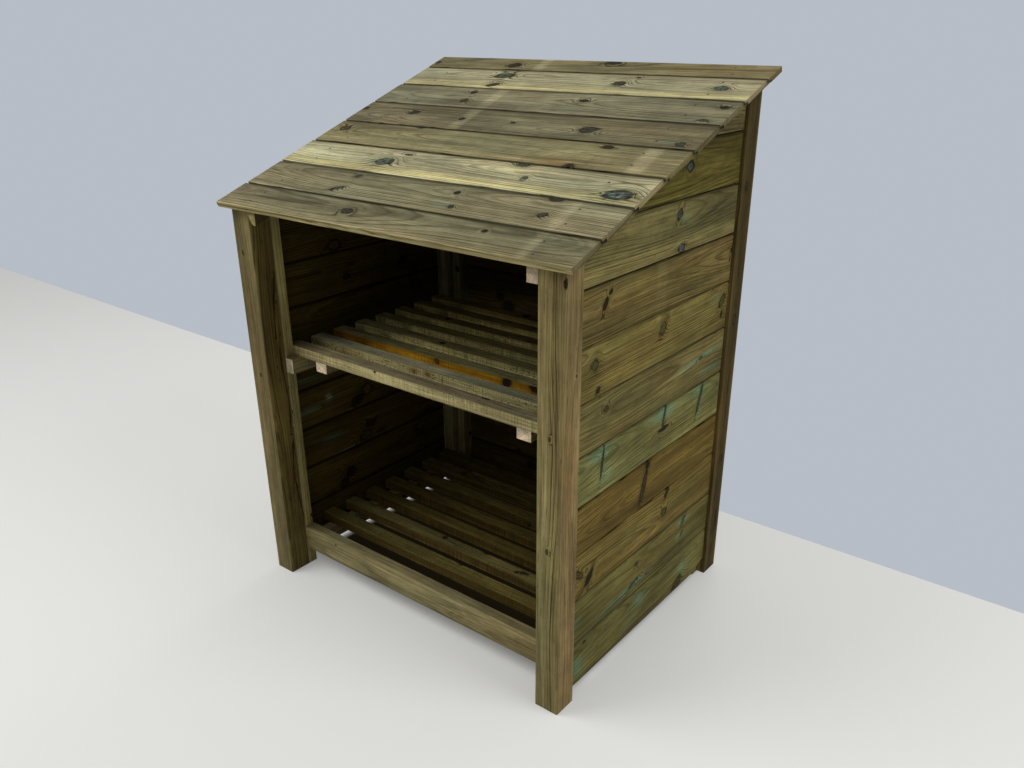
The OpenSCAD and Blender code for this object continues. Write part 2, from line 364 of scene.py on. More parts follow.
    stain = attribute("stain")
    colour = mix(lines, stain["Color"], (*ring_shade, 1), "MULTIPLY")
    swings = ((fibre, 1.9), (streak, 0.8), (blotch, 1.2), (band, 0.8), (mottle, 0.6))
    tone = times(*(scaled(cause, by, 1 - by / 2) for cause, by in swings))
    colour = mix(1.0, colour, tone, "MULTIPLY")
    warm = mix(ramp(hue, 0.35, 0.65), (1.03, 1.1, 1.09, 1), (1.1, 1.085, 1.045, 1))
    colour = mix(1.0, colour, warm, "MULTIPLY")
    colour = mix(times(hair, 0.65), colour, (0.45, 0.39, 0.31, 1), "MULTIPLY")
    colour = mix(times(fleck, 0.5), colour, (0.35, 0.28, 0.2, 1), "MULTIPLY")
    height = scaled(calc("ADD", lines, hair), -0.3, times(fibre, 0.6))
    if saw_marks:
        worn = ramp(noise(6, 30), 0.35, 0.65, 0.35, 1.0)
        teeth = calc("SUBTRACT", noise(310, 5, 1.0), 0.5)
        marks = times(teeth, times(worn, calc("SUBTRACT", 1.0, bold)))
        colour = mix(1.0, colour, scaled(marks, saw_marks, 1.0), "MULTIPLY")
        height = scaled(marks, 1.6, height)
    for core, halo, rim, check, tail, kind, q, glint in found:
        aura = shades(tree, kind, (0.6, 0.53, 0.4, 1), (0.56, 0.63, 0.55, 1))
        heartwood = shades(tree, kind, (0.088, 0.085, 0.03, 1), (0.062, 0.082, 0.066, 1),
                           (0.35, (0.06, 0.04, 0.016, 1)), (0.6, (0.018, 0.014, 0.007, 1)),
                           (0.8, (0.044, 0.046, 0.03, 1)))
        colour = mix(times(halo, 0.45), colour, aura, "MULTIPLY")
        colour = mix(times(tail, scaled(kind, 0.3, 0.2)), colour, (0.22, 0.2, 0.16, 1), "MULTIPLY")
        colour = mix(times(core, 0.92), colour, heartwood)
        inner = calc("FRACT", times(q, 2.7))
        colour = mix(times(core, times(inner, 0.5)), colour, (0.36, 0.32, 0.26, 1), "MULTIPLY")
        colour = mix(times(glint, 0.5), colour, (0.22, 0.27, 0.25, 1))
        colour = mix(times(rim, 0.9), colour, (0.006, 0.005, 0.002, 1))
        colour = mix(times(check, 0.85), colour, (0.005, 0.004, 0.002, 1))
        height = scaled(calc("ADD", rim, check), -0.5, height)
    colour = mix(times(specks, stain["Alpha"]), colour, (0.018, 0.015, 0.01, 1))

    bump = add(tree, "ShaderNodeBump", {"Strength": 0.4, "Distance": 0.0012, "Height": height}).outputs[0]
    rough_here = scaled(fibre, 0.2, rough - 0.1)
    feeds = {"Base Color": colour, "Roughness": rough_here, "Normal": bump, "Specular IOR Level": 0.05}
    shader = add(tree, "ShaderNodeBsdfPrincipled", feeds)
    add(tree, "ShaderNodeOutputMaterial", {0: shader.outputs[0]})
    return material


planed_pine = pine("planed_pine", (0.28, 0.22, 0.15), 0.0, 0.68)

post_shade = shade(124, 111, 73)
blush = shade(126, 106, 71)
dark_grain = shade(72, 58, 36)
post_looks = {
    "front_right_post": ((-6, -4, 4.6, 0.004),
     [(940, 60, 9, 5, 0, 0.6), (640, 29, 5, 3, 0, 0.35, 0.8), (395, 26, 6, 4, 0, 0.3, 0.8),
      (760, 98, 3, 2, 0, 0.5, 0.8)],
     [(450, 87, 2000, 28.5, 0, blush, 0.9, 8), (955, 52, 26, 8, 0, shade(128, 92, 72), 0.5),
      (60, 29, 90, 40, 0, dark_grain, 0.25), (450, 10, 2000, 18, 0, shade(140, 128, 86), 0.5, 4)]),
    "front_left_post": ((92, 50, 3.8, 0.012),
     [(560, 30, 5, 4, 0, 0.4, 0.8), (700, 97, 60, 1.4, 5, 0.5, 0.9), (860, 22, 6, 4, -20, 0.4, 0.8),
      (590, 101, 70, 1.5, -4, 0.5, 0.9), (770, 104, 34, 3, 8, 0.45, 0.9), (300, 100, 56, 1.5, 6, 0.5, 0.9),
      (215, 106, 46, 1.8, -6, 0.5, 0.9), (420, 106, 60, 1.2, 3, 0.5, 0.9)],
     [(450, 87, 2000, 28.5, 0, shade(100, 86, 45), 0.9, 8), (450, 29, 2000, 29, 0, shade(107, 94, 63), 0.9, 8)]),
    "back_right_post": ((20, -30, 4.0, 0.012),
     [(700, 88, 12, 9, 0, 0.3, 0.8), (1010, 80, 10, 8, 0, 0.5, 0.8), (330, 95, 9, 8, 0, 0.4, 0.8),
      (250, 80, 40, 2, 3, 0.55, 0.9), (150, 96, 30, 3, -5, 0.6, 0.9), (480, 90, 60, 1.6, 2, 0.5, 0.8),
      (850, 84, 50, 1.6, -2, 0.5, 0.8), (60, 84, 20, 2.5, 8, 0.6, 0.9)],
     # The second mark paints the front strip beside the side boards dark: a painted shadow in the corner.
     [(600, 87, 2000, 28.5, 0, shade(65, 52, 23), 0.95, 8), (600, 54, 2000, 9, 0, shade(82, 66, 38), 0.9, 8)]),
    "back_left_post": ((35, 80, 4.0, 0.015),
     [(640, 30, 8, 7, 0, 0.3), (250, 150, 9, 8, 0, 0.5), (900, 200, 9, 7, 0, 0.4)],
     []),
}
post_step, first_step = 0.0085, 0.0008
for seed, (node, (heart, knots, marks)) in enumerate(post_looks.items()):
    low, high = corners(node)
    width, depth = high[0] - low[0], high[1] - low[1]
    u, v, walked = squared(width, depth, 1.5 * mm, 7 * mm)
    top = under_roof(high[1] - v)
    rise = stations(1.0, post_step)[:, None]
    rise = np.where((rise > 0) & (rise < 0.5 * post_step), first_step, rise)
    heart = np.array(heart) * [mm, mm, mm, 1]
    place = ((low[0], high[1], 0), (0, 0, 1), (1, 0, 0), (0, -1, 0))
    on_front, on_right = walked < width, np.abs(walked - 1.5 * width) < 0.5 * width
    bold = np.where(on_right, 0.8 if node == "front_left_post" else 0.4, 0.8)
    if node == "front_left_post":
        bold = np.where(on_front, 0.45, bold)
    if node == "front_right_post":
        bold = np.where(on_front, 0.25 + 1.1 * np.exp(-((walked - 39 * mm) / (9 * mm)) ** 2), bold)
    timber = stick(rise * top, u, v, walked, place, heart, post_shade, seed, knots, marks, bold=bold)
    build(node + "_timber", [timber], planed_pine, "posts", node)

# Side boards: shiplap of treated pine, eleven a side, butted between the posts and nailed to the
# upright battens. Each has an eased lip that laps the tongue of the board below, and a hollow cove.
cover = (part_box("right_board_02")[0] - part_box("right_board_01")[0])[2]
tongue = 5.8 * mm
lap = 12 * mm
heel = 17 * mm
cove = 6 * mm
cove_radius = (cove ** 2 + (thick - tongue) ** 2) / (2 * (thick - tongue))
inner_from = 200


def board_stations(low, high, step, full):
    """Distances across a board from its lower edge, close together at the lip, the rebate and the cove."""
    flat = np.linspace(heel, full - cove, int((full - cove - heel) / step) + 1)
    u = np.concatenate([np.array([0, 0.4, 0.9, 1.5, 4, 8, 12.2, 12.4]) * mm, flat,
                        full - cove * (1 - np.linspace(0.17, 1, 6)), np.array([0.4, 8, 12]) * mm + full])
    return np.concatenate([[low], u[(u > low + gap) & (u < high - gap)], [high]])


def board_front(u, full):
    """Outer face of shiplap: a quarter-round lip, a flat, a cove on a circle tangent to the tongue, the tongue."""
    lip = 1.5 * mm
    rise = thick - lip + np.sqrt(np.maximum(lip ** 2 - np.maximum(lip - u, 0) ** 2, 0))
    hollow = tongue + cove_radius - np.sqrt(np.maximum(cove_radius ** 2 - np.clip(full - u, 0, cove) ** 2, 0))
    return np.where(u < full - cove, rise, hollow)


def board_back(u):
    """Inner face of shiplap: a rebate behind the lip, then flat."""
    return np.where(u < lap + gap, tongue + gap, 0.0)


def shiplap(s, u, full, front_u=None, inner_face_shade=0.45, cove_shade_width=7 * mm, lap_dark=0.8):
    """Loop of a board at each station: up the outer face and down the inner one. Painted shade darkens the cove
    under the next board's lip, the lip's lower edge and a band leading up to the cove, and the whole inner face,
    most along the lap. The inner face counts its distance across from 200 mm, so that it has colours of its own."""
    outer = u if front_u is None else front_u
    front, back = board_front(outer, full), board_back(outer)
    loop_u = np.concatenate([u, u[:, ::-1]], 1)
    loop_v = np.concatenate([front, back[:, ::-1]], 1)
    # Painted shade: the cove, the lip's lower edge and a band leading up to the cove are darkened, and the inner
    # face as a whole, most along the lap.
    painted_cove_shade = 1 - lap_dark * np.clip((outer - full + cove_shade_width) / (0.5 * cove_shade_width), 0, 1)
    painted_cove_shade = painted_cove_shade - 0.35 * np.clip(1 - outer / (1.0 * mm), 0, 1)
    painted_cove_shade = painted_cove_shade * (1 - 0.3 * lap_dark * np.clip((outer - full + 4 * cove_shade_width) / (4 * cove_shade_width), 0, 1) ** 2)
    painted_inner_shade = inner_face_shade * (1 - 0.8 * np.clip((outer - full - 5 * mm) / (3 * mm), 0, 1))
    painted_shade = np.concatenate([painted_cove_shade, painted_inner_shade[:, ::-1]], 1)
    loop_c = np.concatenate([u, u[:, ::-1] + inner_from * mm], 1)
    return s, loop_u, loop_v, loop_c, painted_shade


def through(knots):
    """Knots of a board on both its faces."""
    return list(knots) + [(s, c + inner_from, half_s, half_c, lean, min(kind, 0.6), *rest)
                          for s, c, half_s, half_c, lean, kind, *rest in knots]


def board_heart(seed, across=(20, 95), behind=(16, 46), ring=(4.0, 5.6)):
    """Pith of a flat-sawn board, drawn at random: its place across, its depth behind the board, the width of
    a ring and the drift along the board."""
    rng = np.random.default_rng(seed)
    return (rng.uniform(*across) * mm, -rng.uniform(*behind) * mm, rng.uniform(*ring) * mm,
            rng.uniform(-0.05, 0.05))


def whorls(seed, length, wide):
    """Knots of a board, in clusters a branch whorl apart, each of one or two knots."""
    rng = np.random.default_rng(seed)
    at = rng.uniform(60, 160)
    knots = []
    while at < length - 30:
        for c in rng.permutation([0.2, 0.5, 0.8])[: rng.integers(1, 3)]:
            size = rng.uniform(5, 15)
            knots.append((at + rng.normal(0, 22), c * wide + rng.normal(0, 8), size * rng.uniform(1.1, 1.7), size,
                          rng.normal(0, 15), rng.choice([0.15, 0.3, 0.55, 0.95]), 1.0))
        at += rng.uniform(190, 330)
    return knots


olive, tan, brown = shade(104, 98, 56), shade(112, 100, 58), shade(112, 95, 49)
umber, verdigris, straw = shade(62, 46, 28), shade(96, 138, 112), shade(150, 136, 86)
dim, cream = shade(74, 66, 42), shade(140, 126, 84)
russet, moss, fawn = shade(106, 84, 34), shade(84, 78, 46), shade(124, 109, 62)
right_looks = [
    (olive, [(474, 18, 26, 15, 25, 0.35, 0.8), (52, 96, 5, 4, 0, 0.5)],
     [(22, 42, 26, 26, 60, verdigris, 0.5), (284, 76, 16, 24, 70, verdigris, 0.55),
      (255, 40, 60, 8, 25, verdigris, 0.25), (498, 52, 18, 26, 60, verdigris, 0.4),
      (600, 60, 30, 60, 0, brown, 0.5), (300, 6, 500, 14, 0, dim, 0.5)]),
    (shade(99, 91, 50),
     [(260, 76, 8, 6, 0, 0.9, 0.8), (250, 28, 20, 4, 14, 0.9), (481, 89, 9, 6, 40, 1.0), (477, 51, 8, 5, 50, 1.0),
      (190, 17, 60, 1.5, 3, 0.85, 0.9)],
     [(300, 8, 500, 12, 0, dim, 0.35), (205, 21, 78, 5, 3, verdigris, 0.75), (265, 26, 30, 6, 3, verdigris, 0.6),
      (12, 50, 20, 12, 20, verdigris, 0.45), (481, 86, 22, 8, 0, verdigris, 0.6),
      (470, 50, 20, 9, 0, verdigris, 0.45)]),
    (brown,
     [(61, 34, 20, 9, 50, 0.6), (383, 97, 14, 7, 60, 0.5), (376, 50, 11, 10, 0, 0.1),
      (20, 62, 22, 8, -35, 0.3, 0.8)],
     [(30, 10, 30, 10, 0, umber, 0.4), (290, 62, 220, 24, 0, fawn, 0.5), (300, 4, 500, 12, 0, dim, 0.45),
      (372, 34, 14, 8, 0, umber, 0.45)]),
    (shade(111, 93, 45), [(270, 50, 38, 9, 72, 0.36), (283, 98, 9, 8, 0, 0.6)],
     [(300, 8, 500, 34, 0, shade(74, 63, 33), 0.55), (300, 84, 500, 22, 0, shade(124, 102, 54), 0.35),
      (262, 24, 18, 10, 76, umber, 0.4)]),
    (shade(112, 108, 65),
     [(344, 54, 22, 5, 3, 0.65), (96, 68, 30, 4, 82, 0.85), (345, 88, 26, 5, 74, 0.9), (512, 68, 34, 6, 72, 0.9)],
     [(270, 46, 70, 3, -4, umber, 0.5), (92, 92, 36, 14, 0, verdigris, 0.6), (340, 92, 50, 14, 0, verdigris, 0.65),
      (505, 94, 40, 12, 0, verdigris, 0.5), (512, 40, 26, 8, 60, verdigris, 0.45),
      (110, 36, 20, 22, 60, verdigris, 0.3)]),
    (shade(107, 97, 59), [(103, 73, 10, 7, 0, 0.3, 0.7), (500, 64, 10, 4, 0, 0.9, 0.7)],
     [(525, 66, 75, 5, 3, verdigris, 0.75), (560, 24, 50, 6, 0, verdigris, 0.6),
      (430, 58, 34, 8, 0, verdigris, 0.25)]),
    (shade(112, 99, 55),
     [(57, 67, 12, 11, 0, 0.06), (70, 12, 8, 6, 40, 0.65), (312, 72, 15, 11, 40, 0.04), (586, 70, 17, 11, 45, 0.1),
      (588, 36, 9, 5, 70, 0.6)],
     [(560, 80, 34, 10, 0, verdigris, 0.2), (330, 96, 14, 8, 0, umber, 0.55), (304, 50, 18, 8, 0, umber, 0.45),
      (62, 44, 16, 8, 0, umber, 0.45), (290, 94, 14, 9, 0, cream, 0.35), (44, 90, 14, 9, 0, cream, 0.3),
      (180, 78, 70, 16, 0, fawn, 0.35), (480, 62, 90, 22, 0, fawn, 0.3)]),
    (shade(108, 93, 54),
     [(86, 68, 14, 7, 62, 0.58), (103, 88, 7, 5, 40, 0.6), (610, 72, 6, 4, 60, 0.6), (606, 52, 5, 3, 60, 0.6)],
     [(295, 55, 20, 90, 0, cream, 0.3, 6), (110, 20, 170, 24, 0, moss, 0.55), (490, 30, 150, 30, 0, moss, 0.5),
      (220, 84, 130, 18, 0, fawn, 0.3)]),
    (shade(98, 91, 57), [(351, 81, 12, 9, 40, 0.92), (369, 10, 14, 9, 10, 1.0)],
     [(300, 2, 3000, 27, 0, straw, 0.5, 8), (380, 66, 20, 8, 0, verdigris, 0.2)]),
    (shade(86, 78, 36), [(291, 60, 13, 10, 0, 0.95)], []),
    (shade(98, 88, 58), [], []),
]
lap_darks = [0.65, 0.45, 0.35, 0.85, 0.5, 0.45, 0.45, 0.88, 0.65, 0.65, 0.6]
plain = [olive, tan, brown, shade(108, 99, 64), shade(100, 92, 54), shade(114, 102, 66)]


def side_board(node, k, right, knots, marks, base, seed, step):
    """One side board, cut to the roof where it reaches it, its lip following any wane along the lower edge."""
    low, high = corners(node)
    run = high[1] - low[1]
    s = stations(run, 7 * mm if right else 9 * mm)
    y = low[1] + s if right else high[1] - s
    cut = under_roof(y, thick + 2 * gap) - low[2]
    keep = cut > 2.5 * mm
    s, cut = s[keep], cut[keep]
    full = board_stations(0, cover + lap, step, cover)
    top = np.minimum(cut, cover + lap)[:, None]
    foot = np.minimum(heel, 0.3 * top)
    u = np.where(full <= heel, full / heel * foot, foot + (full - heel) / (cover + lap - heel) * (top - foot))
    outline = u
    if node == "right_board_01":
        wane_long, wane_high, wane_reach = 62 * mm, 21 * mm, 45 * mm
        wane = wane_high * np.clip((s - (run - wane_long)) / wane_long, 0, 1)[:, None] ** 1.25
        u = u + wane * np.clip(1 - u / wane_reach, 0, 1)
    place = ((low[0], low[1], low[2]), (0, 1, 0), (0, 0, 1), (1, 0, 0))
    if not right:
        place = ((high[0], high[1], low[2]), (0, -1, 0), (0, 0, 1), (-1, 0, 0))
    s, u, v, c, painted_shade = shiplap(s[:, None], u, cover, outline, 0.42, 7 * mm, lap_darks[k])
    marks = [(300, 255, 3000, 75, 0, russet, 0.75, 8)] + marks
    return stick(s, u, v, c, place, board_heart(seed + 90), base, seed, through(knots), marks, base * 1.1, True,
                 painted_shade)


for k, (base, knots, marks) in enumerate(right_looks):
    node = "right_board_%02d" % (k + 1)
    timber = side_board(node, k, True, knots, marks, base, 10 + k, 4.5 * mm)
    build(node + "_timber", [timber], planed_pine, "wall_boards", node)
# Pale green-white spots and a thin pale line on the left wall's inner face: painted highlights.
painted_glint = shade(190, 215, 190)
left_marks = {2: [(472, 268, 45, 5, 4, verdigris, 0.9), (400, 211, 45, 3.5, 0, painted_glint, 0.6)],
              3: [(530, 258, 50, 6, 0, verdigris, 0.8), (465, 276, 9, 7, 0, painted_glint, 0.8),
                  (486, 255, 7, 6, 0, umber, 0.9)],
              4: [(520, 230, 70, 9, 0, verdigris, 0.5), (420, 60, 30, 8, 0, verdigris, 0.5)],
              8: [(300, 40, 60, 8, 0, verdigris, 0.4)]}
for k in range(11):
    node = "left_board_%02d" % (k + 1)
    knots, marks, base = whorls(40 + k, 614, 105), left_marks.get(k, []), plain[(3 * k + 1) % 6]
    timber = side_board(node, k, False, knots, marks, base, 24 + k, 9 * mm)
    build(node + "_timber", [timber], planed_pine, "wall_boards", node)

# Back boards: the same shiplap, eleven lengths across the back, butted between the back posts
# and nailed to the upright battens there.
low, high = corners("back_boards")
run = high[0] - low[0]
sticks = []
for k in range(11):
    foot_z = low[2] + k * cover
    top = min(cover + lap, under_roof(low[1], thick + 2 * gap) - foot_z)
    across = board_stations(0, top, 9 * mm, cover)[None]
    along = stations(run, 10 * mm)[:, None]
    s, u, v, c, painted_shade = shiplap(along, np.repeat(across, len(along), 0), cover, None, 0.42)
    place = ((high[0], low[1], foot_z), (-1, 0, 0), (0, 0, 1), (0, 1, 0))
    base = plain[(5 * k + 2) % 6]
    marks = [(400, 255, 3000, 75, 0, russet, 0.75, 8)]
    knots = through(whorls(80 + k, 814, 105))
    sticks.append(stick(s, u, v, c, place, board_heart(700 + k), base, 36 + k, knots, marks, base, True, painted_shade))
build("back_boards_timber", sticks, planed_pine, "wall_boards", "back_boards")

# Upright battens: smooth treated pine, 25 by 37 mm, nailed to the posts behind the ends of the
# side and back boards to hold them.
batten_shade = shade(118, 107, 74)
narrow, wide = 25 * mm, 37 * mm


def upright(low, high, seed, base, cut=True):
    """Squared batten standing on the ground, its top sawn to the roof or level under the rafter."""
    u, v, walked = squared(high[0] - low[0], high[1] - low[1], 0.8 * mm, 9 * mm)
    top = under_roof(high[1] - v, thick + gap + (0 if cut else wide))
    rise = stations(1.0, 0.011)[:, None]
    rng = np.random.default_rng(seed)
    heart = (rng.uniform(-50, 60) * mm, rng.uniform(-60, -25) * mm, rng.uniform(3.2, 4.6) * mm,
             rng.uniform(-0.02, 0.02))
    knots = [(rng.uniform(80, 1000), rng.uniform(5, 110), 7, 5, 0, 0.4) for i in range(4)]
    place = ((low[0], high[1], low[2]), (0, 0, 1), (1, 0, 0), (0, -1, 0))
    return stick(rise * (top - low[2]), u, v, walked, place, heart, base, seed, knots, bold=0.5)


low, high = corners("side_wall_battens")
sticks = []
for i, (x, y) in enumerate([(x, y) for y in (low[1], high[1] - narrow) for x in (low[0], high[0] - wide)]):
    base = shade(148, 135, 88) if i == 0 else batten_shade
    sticks.append(upright(np.array([x, y, 0]), np.array([x + wide, y + narrow, 0]), 50 + i, base))
build("side_wall_battens_timber", sticks, planed_pine, "battens", "side_wall_battens")
low, high = corners("back_wall_battens")
sticks = [upright(np.array([x, low[1], 0]), np.array([x + narrow, high[1], 0]), 54 + i, batten_shade, False)
          for i, x in enumerate([low[0], high[0] - narrow])]
build("back_wall_battens_timber", sticks, planed_pine, "battens", "back_wall_battens")

# Front rail: one planed length of treated pine on edge across the foot of the open front,
# between the posts, with the floor behind it.
low, high = corners("front_rail")
u, v, walked = squared(high[2] - low[2], high[1] - low[1], 1.5 * mm, 6 * mm)
place = ((low[0], high[1], low[2]), (1, 0, 0), (0, 0, 1), (0, -1, 0))
knots = [(118, 52, 4, 3, 0, 0.4, 0.7)]
pale_end = shade(182, 164, 140)
# The lowest 5 mm of the rail's front is painted dark, a painted shadow line at its foot, and its top face is
# painted darker than its front, painted shade under the roof.
marks = [(430, 79, 2000, 16, 0, shade(112, 103, 74), 0.9, 8), (430, 3, 2000, 5, 0, shade(92, 80, 48), 0.6),
         (600, 58, 260, 5, 0, shade(150, 138, 100), 0.4),
         (560, 40, 9, 2.5, -12, pale_end, 0.7), (620, 36, 10, 2.5, -12, pale_end, 0.6),
         (760, 30, 120, 30, 0, shade(110, 94, 58), 0.5)]
heart = (20 * mm, -40 * mm, 4 * mm, 0.012)
run = stations(high[0] - low[0], 7 * mm)[:, None]
rail = stick(run, u, v, walked, place, heart, shade(133, 123, 87), 60, knots, marks, bold=0.35)
build("front_rail_timber", [rail], planed_pine, "posts", "front_rail")

# Floor battens and floor slats: sawn treated pine. Two battens run along the side walls, and
# seven slats lie across them with open gaps, nailed down at both ends.
sawn_pine = pine("sawn_pine", (0.5, 0.42, 0.32), 2.6, 0.82)
sawn = shade(118, 107, 74)


def batten_heart(rng):
    """Pith of a sawn batten, drawn at random: place across and out, width of a ring, drift along it."""
    return (rng.uniform(-50, 80) * mm, rng.uniform(-70, -25) * mm, rng.uniform(3.4, 5) * mm,
            rng.uniform(-0.025, 0.025))


def slat(node, i, count, seed, base, knots, marks, ends, specks):
    """One of a count of slats along X, spread over the node's box from its front, walked round from the top
    face: top, back, underside, front. Specks are how mouldy its top and front are. Rings show on its top, saw
    marks on its front."""
    low, high = corners(node)
    pitch = (high[1] - low[1] - wide) / (count - 1)
    u, v, walked = squared(wide, high[2] - low[2], 0.9 * mm, 6 * mm)
    heart = batten_heart(np.random.default_rng(seed))
    place = ((low[0], low[1] + i * pitch, low[2]), (1, 0, 0), (0, 1, 0), (0, 0, 1))
    front = walked > walked[-1] - (high[2] - low[2])
    mould, bold = np.where(front, specks[1], specks[0]), np.where(front, 0.2, 0.7)
    run = stations(high[0] - low[0], 10 * mm)[:, None]
    return stick(run, u, v, walked, place, heart, base, seed, knots, marks, ends, mould=mould, bold=bold)


def fore_and_aft(low, high, seed, ends):
    """Squared timber lying along Y, walked round from its top face: top, left side, underside, right side."""
    u, v, walked = squared(high[0] - low[0], high[2] - low[2], 0.9 * mm, 6 * mm)
    rng = np.random.default_rng(seed)
    heart = batten_heart(rng)
    knots = [(rng.uniform(40, 560), rng.uniform(5, 110), 7, 5, 0, 0.4) for i in range(2)]
    place = ((high[0], low[1], low[2]), (0, 1, 0), (-1, 0, 0), (0, 0, 1))
    run = stations(high[1] - low[1], 10 * mm)[:, None]
    return stick(run, u, v, walked, place, heart, sawn, seed, knots, (), ends, bold=0.5)


def pair(node, width, seed, ends=None):
    """Two timbers fore and aft, one at each end of the node's box."""
    low, high = corners(node)
    return [fore_and_aft(np.array([x, low[1], low[2]]), np.array([x + width, high[1], high[2]]), seed + i, ends)
            for i, x in enumerate([low[0], high[0] - width])]


def front_face(colour, power):
    """Mark that colours the whole front face of a slat."""
    return (430, 111.5, 2000, 13, 0, colour, power, 8)


build("floor_battens_timber", pair("floor_battens", narrow, 62), sawn_pine, "battens", "floor_battens")

slat_tones = [shade(95, 85, 45), shade(96, 86, 50), shade(86, 75, 36), shade(92, 80, 40)]
sticks = []
for i in range(7):
    rng = np.random.default_rng(300 + i)
    knots = [(rng.uniform(60, 800), rng.uniform(4, 120), rng.uniform(5, 10), rng.uniform(4, 7), 0,
              rng.choice([0.3, 0.5, 0.6])) for j in range(4)]
    marks = [front_face(shade(70, 54, 20), 0.8)]
    sticks.append(slat("floor_slats", i, 7, 64 + i, slat_tones[i % 4], knots, marks, None, (0.5, 0.3)))
build("floor_slats_timber", sticks, sawn_pine, "slats", "floor_slats")

# Shelf: two sawn battens along the side walls carry eight sawn slats, and two bearers nailed
# under the slats tie them together. The bearers' and battens' sawn ends show pale at the front.
sticks = pair("shelf_battens", narrow, 72, pale_end * 1.25)
build("shelf_battens_timber", sticks, sawn_pine, "battens", "shelf_battens")
sticks = pair("shelf_bearers", wide, 74, pale_end * 1.1)
build("shelf_bearers_timber", sticks, sawn_pine, "battens", "shelf_bearers")

amber, tar, buff = shade(146, 106, 16), shade(20, 16, 10), shade(155, 142, 100)
rust, drab = shade(120, 74, 26), shade(136, 122, 78)
# The first slat's front is painted lighter than its top, painted light from the front, and the fronts of the back
# slats grow darker towards the back, painted shade deeper in.
shelf_looks = [
    (shade(121, 112, 86), [(310, 121, 4, 3, 0, 0.6), (615, 31, 11, 3, 0, 0.5)],
     [front_face(buff, 0.95), (500, 30, 200, 8, 0, shade(92, 76, 58), 0.4),
      (120, 20, 90, 14, 0, buff, 0.3)], (0.3, 0.35)),
    (shade(147, 143, 113), [(360, 111, 7, 6, 0, 0.1, 0.3), (405, 116, 7, 5, 10, 0.15, 0.3)],
     [front_face(shade(141, 131, 90), 0.95), (362, 112, 13, 9, 0, rust, 0.75), (405, 114, 12, 8, 0, rust, 0.7),
      (340, 112, 10, 8, 0, buff, 0.5), (150, 112, 30, 6, 0, rust, 0.5),
      (30, 112, 60, 14, 0, shade(104, 90, 56), 0.6)], (0.4, 0.75)),
    (shade(139, 132, 88), [(365, 117, 8, 7, 0, 0.3), (578, 113, 12, 10, 15, 0.6), (655, 118, 11, 9, 0, 0.6)],
     [front_face(amber, 0.97), (0, 111, 260, 20, 0, shade(84, 56, 16), 0.9), (365, 112, 18, 14, 0, rust, 0.75),
      (470, 112, 60, 14, 0, shade(128, 88, 12), 0.5), (578, 112, 17, 18, 20, tar, 0.9),
      (620, 112, 12, 8, 0, rust, 0.5), (655, 116, 15, 16, 0, tar, 0.9)], (0.35, 0.1)),
    (shade(141, 133, 90), [(300, 16, 8, 6, 0, 0.5)], [front_face(shade(140, 130, 86), 0.9)], (0.3, 0.6)),
    (shade(142, 132, 84), [(620, 20, 9, 6, 0, 0.3)], [front_face(shade(140, 130, 84), 0.9)], (0.3, 0.6)),
    (drab, [(180, 22, 8, 6, 0, 0.5)], [front_face(shade(136, 124, 78), 0.9)], (0.3, 0.6)),
    (drab, [(480, 14, 9, 6, 0, 0.4)], [front_face(shade(132, 118, 70), 0.9)], (0.3, 0.5)),
    (drab, [(330, 20, 9, 7, 0, 0.4)], [front_face(shade(120, 106, 60), 0.9)], (0.3, 0.5)),
]
sticks = [slat("shelf_slats", i, 8, 76 + i, base, knots, marks, base * 1.1, specks)
          for i, (base, knots, marks, specks) in enumerate(shelf_looks)]
build("shelf_slats_timber", sticks, sawn_pine, "slats", "shelf_slats")

# Rafters: two sawn battens on edge, nailed to the inner faces of the posts along the slope of
# the roof, with plumb ends. The front ends show pale, and the left one has a corner split off.
up_slope = np.array([0, np.cos(slope), np.sin(slope)])
off_roof = np.array([0, -np.sin(slope), np.cos(slope)])
for i, node in enumerate(("left_rafter", "right_rafter")):
    low, high = corners(node)
    u, v, walked = squared(narrow, wide, 0.8 * mm, 6 * mm)
    run = stations((high[1] - low[1]) / np.cos(slope), 10 * mm)[:, None]
    if i == 0:
        v = np.maximum(v, np.clip(u - 11 * mm, 0, None) * 1.35 * np.clip(1 - run / (24 * mm), 0, 1))
    place = ((high[0], low[1], low[2]), up_slope, (-1, 0, 0), off_roof)
    heart = (60 * mm, -40 * mm, 4 * mm, 0.01)
    knots = [(220, 30, 8, 6, 0, 0.4), (510, 90, 8, 6, 0, 0.5)]
    # The left rafter's underside and inner side are painted dark near the front, a painted shadow under the roof,
    # and its end is painted darker and yellower than the right one's, partly as painted shade.
    marks = [(40, 95, 200, 36, 0, shade(62, 50, 26), 0.85, 4)] if i == 0 else ()
    ends = shade(136, 124, 84) if i == 0 else pale_end * 0.9
    timber = stick(run + v * np.tan(slope), u, v, walked, place, heart, sawn, 86 + i, knots, marks, ends, bold=0.5)
    build(node + "_timber", [timber], sawn_pine, "battens", node)

